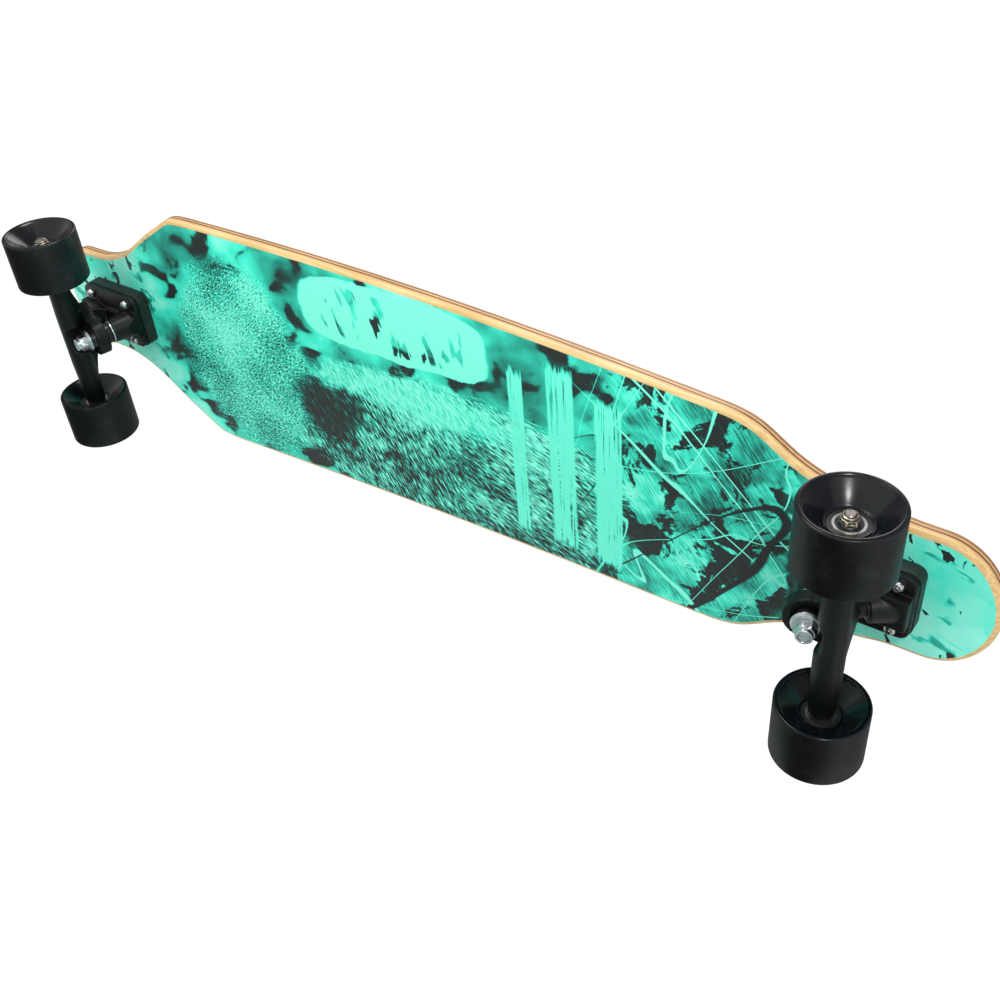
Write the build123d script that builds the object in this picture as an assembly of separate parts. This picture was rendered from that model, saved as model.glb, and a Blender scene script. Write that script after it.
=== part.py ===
from build123d import *
import math
import os

# A cut-out longboard: a cambered seven-ply deck, two turning trucks and four wheels.
# Millimetres. X is the board's length (the rear is +X), Y its width, and Z is up.
# The wheels stand on z = 0, and the origin is the middle of the footprint.

# wheels and bearings
wheel_d = 70.0
wheel_w = 51.0
track_inner = 66.0            # centre line to a wheel's inner face
tread_round = 2.0
lip_r = 31.4                  # inside edge of the flat lip
lip_step = 0.7
recess_foot_r = 16.0          # where a recess meets its flat bottom
inner_recess = 12.0
outer_recess = 15.0
core_r = 14.2
core_rib_r = 9.4              # rib between the bearings
bearing_r = 11.0
bearing_w = 7.0
bore_r = 4.0
inner_ring_r = 6.0
outer_ring_r = 9.2
ball_r = 1.55
ball_track_r = 7.6
ball_count = 7
shield_t = 0.35
shield_in = 0.3
shield_gap = 0.15

# deck
deck_len = 1005.0
ply_t = 1.75
ply_count = 7
grip_t = 0.9
grip_inset = 2.0
nose_half_w = 57.0
nose_len = 49.0
wide_x = 272.0
front_half_w = 126.0
mid_half_w = 119.2
rear_half_w = 106.5
front_shoulder = [(-424, 58), (-385, 71), (-345, 98), (-312, 118.5)]
rear_shoulder = [(312, 100), (340, 83), (370, 70), (415, 60.5)]
deck_z = 102.5                # underside of the deck over the trucks
camber = 7.5
flat_x = 360.0                # the deck is flat beyond this
arch_x = 240.0                # end of the arch's main curve
edge_round = 4.4
top_round = 1.4

# trucks, given for the rear one
truck_x = 411.0               # axle's distance from the middle
mount_x = 408.5               # middle of the bolt pattern
bolt_dx = 54.0
bolt_dy = 41.3
pad_len = 80.0
pad_w = 57.0
pad_corner = 8.0
riser_t = 12.0
flange_t = 5.5
kingpin_tilt = 16.0           # from the vertical, the nut end leaning outwards
kingpin_x = 386.6             # on the kingpin's line, at kingpin_z
kingpin_z = 54.0
kingpin_r = 4.7
kingpin_head_r = 7.0
kingpin_head_t = 5.0
pivot_x = 424.0
pivot_z = 77.5

# places along the kingpin, from kingpin_z towards the nut
head_s = -29.0
board_washer_s = -7.5
washer_t = 1.5
web_s = 3.6                   # the hanger's web between the bushings
web_t = 5.0
ring_top_s = 0.6
ring_foot_s = 12.5
road_washer_s = 19.5
nut_h = 11.4
kingpin_end_s = 30.2

# bushings, seats and the hanger's casting
bushing_r = 10.6
cone_r = 8.8
seat_r = 11.2
washer_r = 11.6
washer_room_r = 12.2
washer_swing = 5.0
web_hole_r = 6.6
ring_r = 18.0
beam_r = 11.2
arm_end_r = 9.8
axle_r = 3.95
stem_r = 7.6
neck_r = 6.0                  # stem beside the board washer
pivot_r = 6.1
pivot_fit = 0.06
cup_wall = 2.0
cup_mouth = 7.0               # cup's mouth before the pivot's centre
gusset_half_w = 58.0
gusset_t = 11.0
gusset_foot = 9.0             # height above the axle at the gusset's tips
gusset_mid = 17.0             # and halfway in

# fasteners
bolt_r = 2.4
bolt_hole_r = 2.7
bolt_head_r = 4.6
bolt_head_t = 2.6
bolt_tail = 6.0               # bolt end below the flange
lock_nut_w = 8.0
lock_nut_h = 4.5
kingpin_nut_w = 14.3
axle_nut_w = 12.7
axle_nut_h = 6.4
axle_tail = 1.2
speed_washer_t = 1.0
speed_washer_r = 5.8

axle_z = wheel_d / 2
shoulder = track_inner + inner_recess - speed_washer_t
bearing_in = track_inner + inner_recess
bearing_out = track_inner + wheel_w - outer_recess
wheel_out = track_inner + wheel_w
deck_t = ply_t * ply_count
riser_z = deck_z - riser_t
flange_z = riser_z - flange_t
ring_s = web_s + web_t / 2

standing = (Align.CENTER, Align.CENTER, Align.MIN)
hanging = (Align.CENTER, Align.CENTER, Align.MAX)

os.makedirs("parts", exist_ok=True)


def save(name, shape):
    export_step(shape, f"parts/{name}.step")


def save_pair(name, rear_shape):
    """Write a rear truck's piece and its mirror image for the front truck."""
    save("rear_" + name, rear_shape)
    save("front_" + name, rear_shape.mirror(Plane.YZ))


def group(solids):
    return Compound(list(solids))


def turned(*points):
    """A solid turned about Z from corners given as radius and height."""
    return revolve(Plane.XZ * make_face(Polyline(*points, close=True)), Axis.Z)


def tube(outer, inner, low, high):
    return turned((inner, low), (outer, low), (outer, high), (inner, high))


def hexagon_nut(width, height, hole):
    """A nut on z = 0 with its corners turned off, and a round hole."""
    corner_r = width / math.sqrt(3)
    blank = extrude(RegularPolygon(corner_r, 6), amount=height)
    chamfer_h = 0.12 * width
    dome = turned(
        (0, 0), (width / 2, 0), (corner_r, chamfer_h),
        (corner_r, height - chamfer_h), (width / 2, height), (0, height)
    )
    return (blank & dome) - Cylinder(hole, 3 * height)


# ---------------------------------------------------------------- deck

def half_outline(inset):
    """Edges of the +Y half of the deck's plan, nose to tail, drawn in by inset."""
    end_x = deck_len / 2 - nose_len
    end_w = nose_half_w - inset
    wide = (-wide_x, front_half_w - inset)
    narrow = (wide_x, rear_half_w - inset)
    front_points = [(x, y - inset) for x, y in front_shoulder]
    rear_points = [(x, y - inset) for x, y in rear_shoulder]
    return [
        EllipticalCenterArc((-end_x, 0), nose_len - inset, end_w, 90, arc_size=90),
        Spline((-end_x, end_w), *front_points, wide, tangents=[(1, 0), (1, -0.01)]),
        ThreePointArc(wide, (0, mid_half_w - inset), narrow),
        Spline(narrow, *rear_points, (end_x, end_w), tangents=[(1, -0.06), (1, 0)]),
        EllipticalCenterArc((end_x, 0), nose_len - inset, end_w, 0, arc_size=90),
    ]


def outline_face(inset=0.0):
    half = Curve() + half_outline(inset)
    whole = half.edges() + half.mirror(Plane.XZ).edges()
    return make_face(whole)


def camber_edge(rise):
    """The deck's side profile, offset upwards by rise, as edges in XZ from -X to +X."""
    spread = flat_x - arch_x
    turn = 2 * math.atan(camber / flat_x)
    arch_r = arch_x / math.sin(turn)
    foot_r = spread / math.sin(turn)
    arch_cz = deck_z + camber - arch_r
    foot_cz = deck_z + foot_r

    def arch(angle):
        return ((arch_r + rise) * math.sin(angle), arch_cz + (arch_r + rise) * math.cos(angle))

    def foot(side, angle):
        reach = (foot_r - rise) * math.sin(angle)
        return (side * (flat_x - reach), foot_cz - (foot_r - rise) * math.cos(angle))

    far = deck_len / 2 + 5
    flat_z = deck_z + rise
    return [
        Line((-far, flat_z), (-flat_x, flat_z)),
        ThreePointArc((-flat_x, flat_z), foot(-1, turn / 2), foot(-1, turn)),
        ThreePointArc(foot(-1, turn), arch(0), foot(1, turn)),
        ThreePointArc(foot(1, turn), foot(1, turn / 2), (flat_x, flat_z)),
        Line((flat_x, flat_z), (far, flat_z)),
    ], far


def camber_slab(low, high):
    """A curved board-wide slab between two heights above the deck's underside."""
    under, far = camber_edge(low)
    over, far = camber_edge(high)
    ends = [Line((x, deck_z + low), (x, deck_z + high)) for x in (-far, far)]
    side = make_face(under + over + ends)
    return extrude(Plane.XZ * side, amount=deck_len / 4, both=True)


def bolt_places():
    places = []
    for side in (-1, 1):
        for dx in (-bolt_dx / 2, bolt_dx / 2):
            for dy in (-bolt_dy / 2, bolt_dy / 2):
                places.append((side * mount_x + dx, dy))
    return places


def surface_height(x):
    """Height of the deck's underside at x."""
    turn = 2 * math.atan(camber / flat_x)
    arch_r = arch_x / math.sin(turn)
    foot_r = (flat_x - arch_x) / math.sin(turn)
    reach = abs(x)
    if reach >= flat_x:
        return deck_z
    if reach >= arch_x:
        return deck_z + foot_r - math.sqrt(foot_r ** 2 - (flat_x - reach) ** 2)
    return deck_z + camber - arch_r + math.sqrt(arch_r ** 2 - reach ** 2)


def on_height(edge, rise):
    """Whether an edge runs at a height above the deck's underside."""
    spots = [edge.position_at(t) for t in (0.1, 0.5, 0.9)]
    return all(abs(p.Z - surface_height(p.X) - rise) < 0.2 for p in spots)


def rim_edges(solid, rise):
    return [e for e in solid.edges() if e.length > 20 and on_height(e, rise)]


def deck_blank():
    plan = Pos(0, 0, deck_z - 5) * outline_face()
    blank = extrude(plan, amount=deck_t + camber + 10) & camber_slab(0, deck_t)
    blank = blank.fillet(edge_round, rim_edges(blank, 0))
    blank = blank.fillet(top_round, rim_edges(blank, deck_t))
    return blank


def bolt_solids():
    """One countersunk bolt at each place, head flush with the grip tape."""
    top = deck_z + deck_t + grip_t
    foot = flange_z - bolt_tail
    cone = turned(
        (0, foot), (bolt_r - 0.5, foot), (bolt_r, foot + 0.6), (bolt_r, top - bolt_head_t),
        (bolt_head_r, top - 0.3), (bolt_head_r, top), (0, top)
    )
    socket = Pos(0, 0, top) * extrude(RegularPolygon(1.7, 6), amount=-1.6)
    bolt = cone - socket
    return [Pos(x, y, 0) * bolt for x, y in bolt_places()]


def countersinks():
    top = deck_z + deck_t + grip_t
    room = 0.2
    cone = turned(
        (0, riser_z), (bolt_hole_r, riser_z), (bolt_hole_r, top - bolt_head_t - room),
        (bolt_head_r + room, top - 0.3), (bolt_head_r + room, top + 1), (0, top + 1)
    )
    return Part() + [Pos(x, y, 0) * cone for x, y in bolt_places()]


def make_deck():
    holes = countersinks()
    blank = deck_blank() - holes
    for index in range(ply_count):
        ply = blank & camber_slab(index * ply_t, (index + 1) * ply_t)
        save(f"deck_ply_{index + 1}", ply)
    grip_plan = Pos(0, 0, deck_z - 5) * outline_face(grip_inset)
    grip = extrude(grip_plan, amount=deck_t + camber + 10) - holes
    save("grip_tape", grip & camber_slab(deck_t, deck_t + grip_t))


# ---------------------------------------------------------------- fasteners through the deck

def make_mounting_hardware():
    save("mounting_bolts", group(bolt_solids()))
    nut = hexagon_nut(lock_nut_w, lock_nut_h, bolt_r)
    save("mounting_nuts", group([Pos(x, y, flange_z - lock_nut_h) * nut for x, y in bolt_places()]))


# ---------------------------------------------------------------- truck frames

def on_kingpin(s):
    """A plane across the kingpin at s, its Z along the pin towards the nut."""
    tilt = math.radians(kingpin_tilt)
    along = (math.sin(tilt), 0, -math.cos(tilt))
    across = (math.cos(tilt), 0, math.sin(tilt))
    spot = (kingpin_x + s * along[0], 0, kingpin_z + s * along[2])
    return Plane(origin=spot, x_dir=across, z_dir=along)


ring_centre = on_kingpin(ring_s).origin
pivot_centre = Vector(pivot_x, 0, pivot_z)
turn_axis = (pivot_centre - ring_centre).normalized()
pivot_u = (pivot_centre - ring_centre).length
turn_plane = Plane(origin=ring_centre, x_dir=(0, 1, 0), z_dir=turn_axis)


def rear_bolt_cylinders(radius, low, high):
    spots = [(x, y) for x, y in bolt_places() if x > 0]
    pin = Cylinder(radius, high - low, align=standing)
    return Part() + [Pos(x, y, low) * pin for x, y in spots]


def pad(low, high, grow=0.0):
    plate = RectangleRounded(pad_len + 2 * grow, pad_w + 2 * grow, pad_corner + grow)
    return extrude(Pos(mount_x, 0, low) * plate, amount=high - low)


# ---------------------------------------------------------------- baseplate side of a truck

def make_riser():
    riser = pad(riser_z, deck_z, 0.8)
    window = extrude(Pos(mount_x, 0, riser_z) * RectangleRounded(34, 18, 5), amount=riser_t)
    save_pair("riser_pad", riser - window - rear_bolt_cylinders(bolt_hole_r, riser_z, deck_z))


def cup_profile(outer, mouth, foot):
    """Half of a cup about the turning axis, closed round the pivot's ball."""
    inner = pivot_r + pivot_fit
    return make_face([
        Line((inner, mouth), (outer, mouth)),
        Line((outer, mouth), (outer, foot)),
        Line((outer, foot), (0, foot)),
        Line((0, foot), (0, pivot_u + inner)),
        RadiusArc((0, pivot_u + inner), (inner, pivot_u), inner),
        Line((inner, pivot_u), (inner, mouth)),
    ])


def make_baseplate():
    cup_r = pivot_r + pivot_fit + cup_wall
    cup_foot = pivot_u + pivot_r + cup_wall
    flange = pad(flange_z, riser_z)
    flange = flange.fillet(1.2, flange.edges().filter_by_position(Axis.Z, flange_z - 0.1, flange_z + 0.1))
    boss_len = 45
    boss_low = board_washer_s
    kingpin_boss = on_kingpin(boss_low) * turned(
        (0, 0), (washer_r, 0), (washer_r + 3.0, -boss_len), (0, -boss_len)
    )
    kingpin_seat = Pos(kingpin_x - 8, 0, flange_z - 4) * Box(28, 30, 8, align=standing)
    boss_mouth = pivot_u - cup_mouth + 1
    boss_foot = pivot_u + 14
    pivot_boss = turn_plane * turned(
        (0, boss_mouth), (cup_r + 2.6, boss_mouth), (cup_r + 4.2, boss_foot), (0, boss_foot)
    )
    ledge = Pos(pivot_x + 13, 0, flange_z - 9) * Box(20, 27, 12, align=standing)
    bridge = Pos(mount_x, 0, flange_z - 4) * Box(46, 17, 6, align=standing)
    room = pad(pivot_z - 40, riser_z)
    bosses = (kingpin_boss + kingpin_seat + pivot_boss + ledge + bridge) & room
    head_pocket = on_kingpin(head_s) * Cylinder(kingpin_head_r, 60, align=hanging)
    pin_hole = on_kingpin(0) * Cylinder(kingpin_r, 120)
    cup_hole = turn_plane * turned((0, 0), (cup_r, 0), (cup_r, cup_foot), (0, cup_foot))
    solid = flange + bosses - head_pocket - pin_hole - cup_hole
    save_pair("baseplate", solid - rear_bolt_cylinders(bolt_hole_r, flange_z - 9, riser_z))
    cup = turn_plane * revolve(Plane.XZ * cup_profile(cup_r, pivot_u - cup_mouth, cup_foot), Axis.Z)
    save_pair("pivot_cup", cup)


def make_kingpin():
    head = tube(kingpin_head_r, 0, head_s - kingpin_head_t, head_s)
    end = kingpin_end_s
    shank = turned(
        (0, head_s - 1), (kingpin_r, head_s - 1), (kingpin_r, end - 1), (kingpin_r - 1, end), (0, end)
    )
    save_pair("kingpin", on_kingpin(0) * (head + shank))
    nut = hexagon_nut(kingpin_nut_w, nut_h, kingpin_r)
    save_pair("kingpin_nut", on_kingpin(road_washer_s) * nut)


def make_bushings():
    """A barrel above the hanger's web and a cone below it, each against its washer."""
    board_low = board_washer_s + washer_t
    road_high = road_washer_s - washer_t
    web_high = web_s + web_t
    barrel = turned(
        (kingpin_r, board_low), (bushing_r - 0.8, board_low), (bushing_r, board_low + 1.2),
        (bushing_r, web_s - 0.8), (bushing_r - 0.8, web_s), (kingpin_r, web_s)
    )
    cone = turned(
        (kingpin_r, web_high), (bushing_r - 0.6, web_high), (bushing_r, web_high + 0.8),
        (bushing_r, web_high + 2.5), (cone_r, road_high - 1.0), (cone_r - 0.8, road_high),
        (kingpin_r, road_high)
    )
    save_pair("board_bushing", on_kingpin(0) * barrel)
    save_pair("road_bushing", on_kingpin(0) * cone)
    cupped = 0.9
    rim_r = washer_r - 1.6
    board_washer = tube(washer_r, kingpin_r, board_washer_s, board_low)
    road_washer = turned(
        (kingpin_r, road_high), (rim_r, road_high), (washer_r, road_high - cupped),
        (washer_r, road_high - cupped + washer_t), (rim_r, road_washer_s), (kingpin_r, road_washer_s)
    )
    save_pair("board_washer", on_kingpin(0) * board_washer)
    save_pair("road_washer", on_kingpin(0) * road_washer)


# ---------------------------------------------------------------- hanger side of a truck

def gusset():
    """The upright web between the two arms and the pivot's stem."""
    top_z = pivot_z - 13
    top_half = stem_r - 1
    tip = (gusset_half_w, axle_z + gusset_foot)
    mid = (gusset_half_w / 2, axle_z + gusset_mid)
    sketch = make_face([
        Line((-gusset_half_w, axle_z), (gusset_half_w, axle_z)),
        Line((gusset_half_w, axle_z), tip),
        ThreePointArc(tip, mid, (top_half, top_z)),
        Line((top_half, top_z), (-top_half, top_z)),
        ThreePointArc((-top_half, top_z), (-mid[0], mid[1]), (-tip[0], tip[1])),
        Line((-tip[0], tip[1]), (-gusset_half_w, axle_z)),
    ])
    place = Plane(origin=(truck_x + 1.5, 0, 0), x_dir=(0, 1, 0), z_dir=(1, 0, 0))
    return extrude(place * sketch, amount=gusset_t / 2, both=True)


def ring_web():
    """The flat casting that joins the bushing ring to the beam."""
    reach = truck_x - ring_centre.X
    sketch = make_face(Polyline((0, -16), (0, 16), (reach + 4, 30), (reach + 4, -30), close=True))
    return extrude(on_kingpin(ring_top_s) * sketch, amount=ring_foot_s - ring_top_s)


def on_axle(y_side):
    """A plane at the axle's middle, its Z towards one wheel."""
    return Plane(origin=(truck_x, 0, axle_z), x_dir=(1, 0, 0), z_dir=(0, y_side, 0))


def arm_sweep():
    """The round beam, thicker in the middle than at the wheels."""
    return on_axle(1) * turned(
        (0, -shoulder), (arm_end_r - 1, -shoulder), (arm_end_r, -shoulder + 1), (beam_r, -28), (beam_r, 28),
        (arm_end_r, shoulder - 1), (arm_end_r - 1, shoulder), (0, shoulder)
    )


def pivot_stem():
    edges = [
        Line((0, 6), (neck_r, 6)),
        Line((neck_r, 6), (neck_r, pivot_u - 24)),
        Line((neck_r, pivot_u - 24), (stem_r, pivot_u - 19)),
        Line((stem_r, pivot_u - 19), (pivot_r, pivot_u - 9)),
        Line((pivot_r, pivot_u - 9), (pivot_r, pivot_u)),
        RadiusArc((pivot_r, pivot_u), (0, pivot_u + pivot_r), -pivot_r),
        Line((0, pivot_u + pivot_r), (0, 6)),
    ]
    return turn_plane * revolve(Plane.XZ * make_face(edges), Axis.Z)


def middle_rib():
    """The solid middle between the ring, the stem and the beam."""
    def spot(u, v):
        x = ring_centre.X + u * turn_axis.X + v * turn_axis.Z
        return (x, ring_centre.Z + u * turn_axis.Z - v * turn_axis.X)

    corners = [spot(8, 3), spot(31, 3), spot(20, 24), spot(6, 27)]
    return extrude(Plane.XZ * make_face(Polyline(*corners, close=True)), amount=9, both=True)


def make_hanger():
    ring = on_kingpin(ring_top_s) * Cylinder(ring_r, ring_foot_s - ring_top_s, align=standing)
    casting = arm_sweep() + gusset() + ring_web() + ring + middle_rib() + pivot_stem()
    board_room = on_kingpin(web_s) * Cylinder(seat_r, 60, align=hanging)
    road_seat = on_kingpin(web_s + web_t) * Cylinder(seat_r, 60, align=standing)
    swing = on_kingpin(web_s + web_t + 3.5) * extrude(
        SlotCenterToCenter(2 * washer_swing, 2 * washer_room_r, rotation=90), amount=60
    )
    pin_room = on_kingpin(0) * Cylinder(web_hole_r, 200)
    boss_room = on_kingpin(board_washer_s + washer_t + 1) * Cylinder(washer_room_r, 60, align=hanging)
    casting = casting - board_room - boss_room - road_seat - swing - pin_room
    save_pair("hanger", casting - on_axle(1) * Cylinder(axle_r, 400))


def make_axle():
    end = bearing_out + speed_washer_t + axle_nut_h + axle_tail
    tip = 0.8
    rod = turned(
        (0, -end), (axle_r - tip, -end), (axle_r, -end + tip),
        (axle_r, end - tip), (axle_r - tip, end), (0, end)
    )
    save_pair("axle", on_axle(1) * rod)
    nut = Pos(0, 0, bearing_out + speed_washer_t) * hexagon_nut(axle_nut_w, axle_nut_h, axle_r)
    save_pair("axle_nuts", group([on_axle(side) * nut for side in (-1, 1)]))
    washers = []
    rings = []
    spacers = []
    spacer = tube(inner_ring_r - 0.6, bore_r, bearing_in + bearing_w, bearing_out - bearing_w)
    for side in (-1, 1):
        for low in (shoulder, bearing_out):
            washers.append(on_axle(side) * tube(speed_washer_r, bore_r, low, low + speed_washer_t))
        for low in (bearing_in, bearing_out - bearing_w):
            rings.append(on_axle(side) * tube(inner_ring_r, bore_r, low, low + bearing_w))
        spacers.append(on_axle(side) * spacer)
    save_pair("speed_washers", group(washers))
    save_pair("inner_rings", group(rings))
    save_pair("bearing_spacers", group(spacers))


# ---------------------------------------------------------------- wheels

def tyre_profile():
    """Half section of the urethane: rounded tread edges, flat lips and two conical recesses."""
    r = wheel_d / 2
    low = track_inner
    high = wheel_out
    bulge = 1.2

    def recess(face, depth, way):
        step = face + way * lip_step
        foot = face + way * depth
        cone_mid = ((lip_r + recess_foot_r) / 2 - bulge, (step + foot) / 2 + way * bulge)
        return [
            Line((r - tread_round, face), (lip_r, face)),
            Line((lip_r, face), (lip_r - 0.4, step)),
            ThreePointArc((lip_r - 0.4, step), cone_mid, (recess_foot_r, foot)),
            Line((recess_foot_r, foot), (core_r, foot)),
        ]

    edge_r = r - tread_round
    mid_r = r - tread_round * (1 - math.sqrt(0.5))
    dip = r - mid_r
    outside = [
        ThreePointArc((edge_r, high), (mid_r, high - dip), (r, high - tread_round)),
        Line((r, high - tread_round), (r, low + tread_round)),
        ThreePointArc((r, low + tread_round), (mid_r, low + dip), (edge_r, low)),
    ]
    bore = Line((core_r, low + inner_recess), (core_r, high - outer_recess))
    return make_face(recess(high, outer_recess, -1) + recess(low, inner_recess, 1) + outside + [bore])


def make_wheels():
    tyre = revolve(Plane.XZ * tyre_profile(), Axis.Z)
    first = bearing_in + bearing_w
    last = bearing_out - bearing_w
    core = turned(
        (bearing_r, bearing_in), (core_r, bearing_in), (core_r, bearing_out), (bearing_r, bearing_out),
        (bearing_r, last), (core_rib_r, last), (core_rib_r, first), (bearing_r, first)
    )
    outer_rings = []
    shields = []
    balls = []
    for low in (bearing_in, last):
        outer_rings.append(tube(bearing_r, outer_ring_r, low, low + bearing_w))
        for face in (low + shield_in, low + bearing_w - shield_in - shield_t):
            shields.append(tube(outer_ring_r, inner_ring_r + shield_gap, face, face + shield_t))
        for index in range(ball_count):
            turn = 2 * math.pi * index / ball_count
            spot = Pos(ball_track_r * math.cos(turn), ball_track_r * math.sin(turn), low + bearing_w / 2)
            balls.append(spot * Sphere(ball_r))
    pieces = {
        "tyre": tyre,
        "wheel_core": core,
        "outer_rings": group(outer_rings),
        "bearing_shields": group(shields),
        "bearing_balls": group(balls),
    }
    for y_side, hand in ((-1, "left"), (1, "right")):
        for name, piece in pieces.items():
            save_pair(f"{hand}_{name}", on_axle(y_side) * piece)


make_deck()
make_mounting_hardware()
make_riser()
make_baseplate()
make_kingpin()
make_bushings()
make_hanger()
make_axle()
make_wheels()
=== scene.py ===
import math

import bmesh
import bpy
import numpy as np
from mathutils import Matrix, Vector


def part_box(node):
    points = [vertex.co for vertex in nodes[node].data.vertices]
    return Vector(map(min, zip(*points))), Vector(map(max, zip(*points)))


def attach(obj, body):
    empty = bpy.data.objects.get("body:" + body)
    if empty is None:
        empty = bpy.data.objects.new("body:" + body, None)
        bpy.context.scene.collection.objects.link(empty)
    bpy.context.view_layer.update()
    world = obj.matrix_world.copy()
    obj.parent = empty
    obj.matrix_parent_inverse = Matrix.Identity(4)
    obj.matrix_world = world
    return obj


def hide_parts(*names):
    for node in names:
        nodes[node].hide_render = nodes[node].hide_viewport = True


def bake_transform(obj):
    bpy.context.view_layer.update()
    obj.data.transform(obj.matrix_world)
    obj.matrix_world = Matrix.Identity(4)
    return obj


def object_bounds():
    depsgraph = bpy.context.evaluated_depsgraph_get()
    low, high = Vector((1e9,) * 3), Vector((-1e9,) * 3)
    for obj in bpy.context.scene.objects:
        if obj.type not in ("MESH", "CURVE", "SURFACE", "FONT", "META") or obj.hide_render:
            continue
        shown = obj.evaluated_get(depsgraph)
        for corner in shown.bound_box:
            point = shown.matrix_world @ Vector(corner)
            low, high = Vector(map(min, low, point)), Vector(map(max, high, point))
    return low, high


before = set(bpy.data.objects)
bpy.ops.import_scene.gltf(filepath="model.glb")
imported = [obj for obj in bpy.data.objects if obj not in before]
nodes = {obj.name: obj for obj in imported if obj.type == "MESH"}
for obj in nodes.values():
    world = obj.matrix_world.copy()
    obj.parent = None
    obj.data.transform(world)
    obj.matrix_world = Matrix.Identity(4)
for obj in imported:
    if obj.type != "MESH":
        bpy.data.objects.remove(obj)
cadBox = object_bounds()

scene = bpy.context.scene
mm = 0.001


class Wire:
    # a socket that can be used in sums; each sum adds its Math node
    def __init__(self, finish, socket):
        self.finish = finish
        self.socket = socket

    def maths(self, operation, first, second):
        return self.finish.node("ShaderNodeMath", {"operation": operation}, {0: first, 1: second})

    def __add__(self, other):
        return self.maths("ADD", self, other)

    def __radd__(self, other):
        return self.maths("ADD", other, self)

    def __sub__(self, other):
        return self.maths("SUBTRACT", self, other)

    def __rsub__(self, other):
        return self.maths("SUBTRACT", other, self)

    def __mul__(self, other):
        return self.maths("MULTIPLY", self, other)

    def __rmul__(self, other):
        return self.maths("MULTIPLY", other, self)

    def __truediv__(self, other):
        return self.maths("DIVIDE", self, other)

    def __rtruediv__(self, other):
        return self.maths("DIVIDE", other, self)

    def __pow__(self, other):
        return self.maths("POWER", self, other)

    def __abs__(self):
        return self.maths("ABSOLUTE", self, 0.0)


class Finish:
    # one material: node() adds any node, and the rest are short forms of it
    def __init__(self, name, **constants):
        self.material = bpy.data.materials.new(name)
        self.material.use_nodes = True
        self.tree = self.material.node_tree
        self.shader = self.tree.nodes["Principled BSDF"]
        for label, value in constants.items():
            self.shader.inputs[label.replace("_", " ")].default_value = value
        self.place = self.node("ShaderNodeTexCoord", out="Object")
        split = self.node("ShaderNodeSeparateXYZ", inputs={0: self.place})
        self.x = split
        self.y = Wire(self, split.socket.node.outputs[1])
        self.z = Wire(self, split.socket.node.outputs[2])

    def node(self, kind, settings=None, inputs=None, out=0):
        made = self.tree.nodes.new(kind)
        for label, value in (settings or {}).items():
            if label == "stops":
                ramp = made.color_ramp
                while len(ramp.elements) < len(value):
                    ramp.elements.new(0.5)
                for element, (spot, colour) in zip(ramp.elements, value):
                    element.position = spot
                    element.color = colour
            else:
                setattr(made, label, value)
        for label, value in (inputs or {}).items():
            if isinstance(value, Wire):
                self.tree.links.new(value.socket, made.inputs[label])
            else:
                made.inputs[label].default_value = value
        return Wire(self, made.outputs[out])

    def feed(self, label, wire):
        self.tree.links.new(wire.socket, self.shader.inputs[label])

    def stretched(self, scale=(1, 1, 1), turn=0.0, shift=(0, 0, 0)):
        turned = self.node("ShaderNodeMapping", inputs={
            "Vector": self.place, "Location": shift, "Rotation": (0, 0, math.radians(turn))})
        return self.node("ShaderNodeMapping", inputs={"Vector": turned, "Scale": scale})

    def noise(self, scale, detail=3.0, rough=0.55, vector=None, warp=0.0):
        return self.node("ShaderNodeTexNoise", inputs={
            "Vector": vector or self.place, "Scale": scale, "Detail": detail,
            "Roughness": rough, "Distortion": warp})

    def cells(self, scale):
        return self.node("ShaderNodeTexVoronoi", inputs={"Vector": self.place, "Scale": scale})

    def step(self, value, low, high, toLow=0.0, toHigh=1.0):
        return self.node("ShaderNodeMapRange", {"interpolation_type": "SMOOTHSTEP"}, {
            "Value": value, "From Min": low, "From Max": high, "To Min": toLow, "To Max": toHigh})

    def ramp(self, value, *stops):
        return self.node("ShaderNodeValToRGB", {"stops": [(s, (*c, 1.0)) for s, c in stops]}, {0: value})

    def mix(self, amount, first, second):
        def colour(value):
            return value if isinstance(value, Wire) else (*value, 1.0)
        return self.node("ShaderNodeMix", {"data_type": "RGBA"}, {
            0: amount, 6: colour(first), 7: colour(second)}, 2)

    def blend(self, amount, first, second):
        # numbers: first where amount is 0, second where it is 1
        return self.node("ShaderNodeMix", {"data_type": "FLOAT"}, {0: amount, 2: first, 3: second})

    def bump(self, height, distance, strength=1.0):
        self.feed("Normal", self.node("ShaderNodeBump", inputs={
            "Height": height, "Distance": distance, "Strength": strength}))


grit = {"base": (0.012, 0.012, 0.013), "glint": (0.07, 0.07, 0.075), "grain": 2600.0, "relief": 0.00035}


def makeGrit():
    finish = Finish("gripGrit", Specular_IOR_Level=0.35)
    grains = finish.cells(grit["grain"])
    coarse = finish.noise(grit["grain"] * 0.4, 4.0)
    worn = finish.noise(18.0, 3.0)
    sparkle = finish.step(grains, 0.42, 0.05)
    # painted glint: the grains get the lighter glint colour, in patches set by the worn noise
    finish.feed("Base Color", finish.mix(sparkle * worn * 0.6, grit["base"], grit["glint"]))
    finish.feed("Roughness", 0.95 - sparkle * 0.35)
    finish.bump(coarse - grains, grit["relief"])
    return finish.material


maple = {  # each veneer's light and deep tone
    "pale": ((0.83, 0.60, 0.30), (0.62, 0.36, 0.13)),
    "warm": ((0.74, 0.47, 0.20), (0.50, 0.26, 0.09)),
    "tan": ((0.52, 0.30, 0.14), (0.33, 0.17, 0.075)),
    "rust": ((0.34, 0.16, 0.065), (0.20, 0.085, 0.035)),
    "dark": ((0.23, 0.105, 0.042), (0.11, 0.045, 0.018)),
    "rough": 0.42,
}


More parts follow.
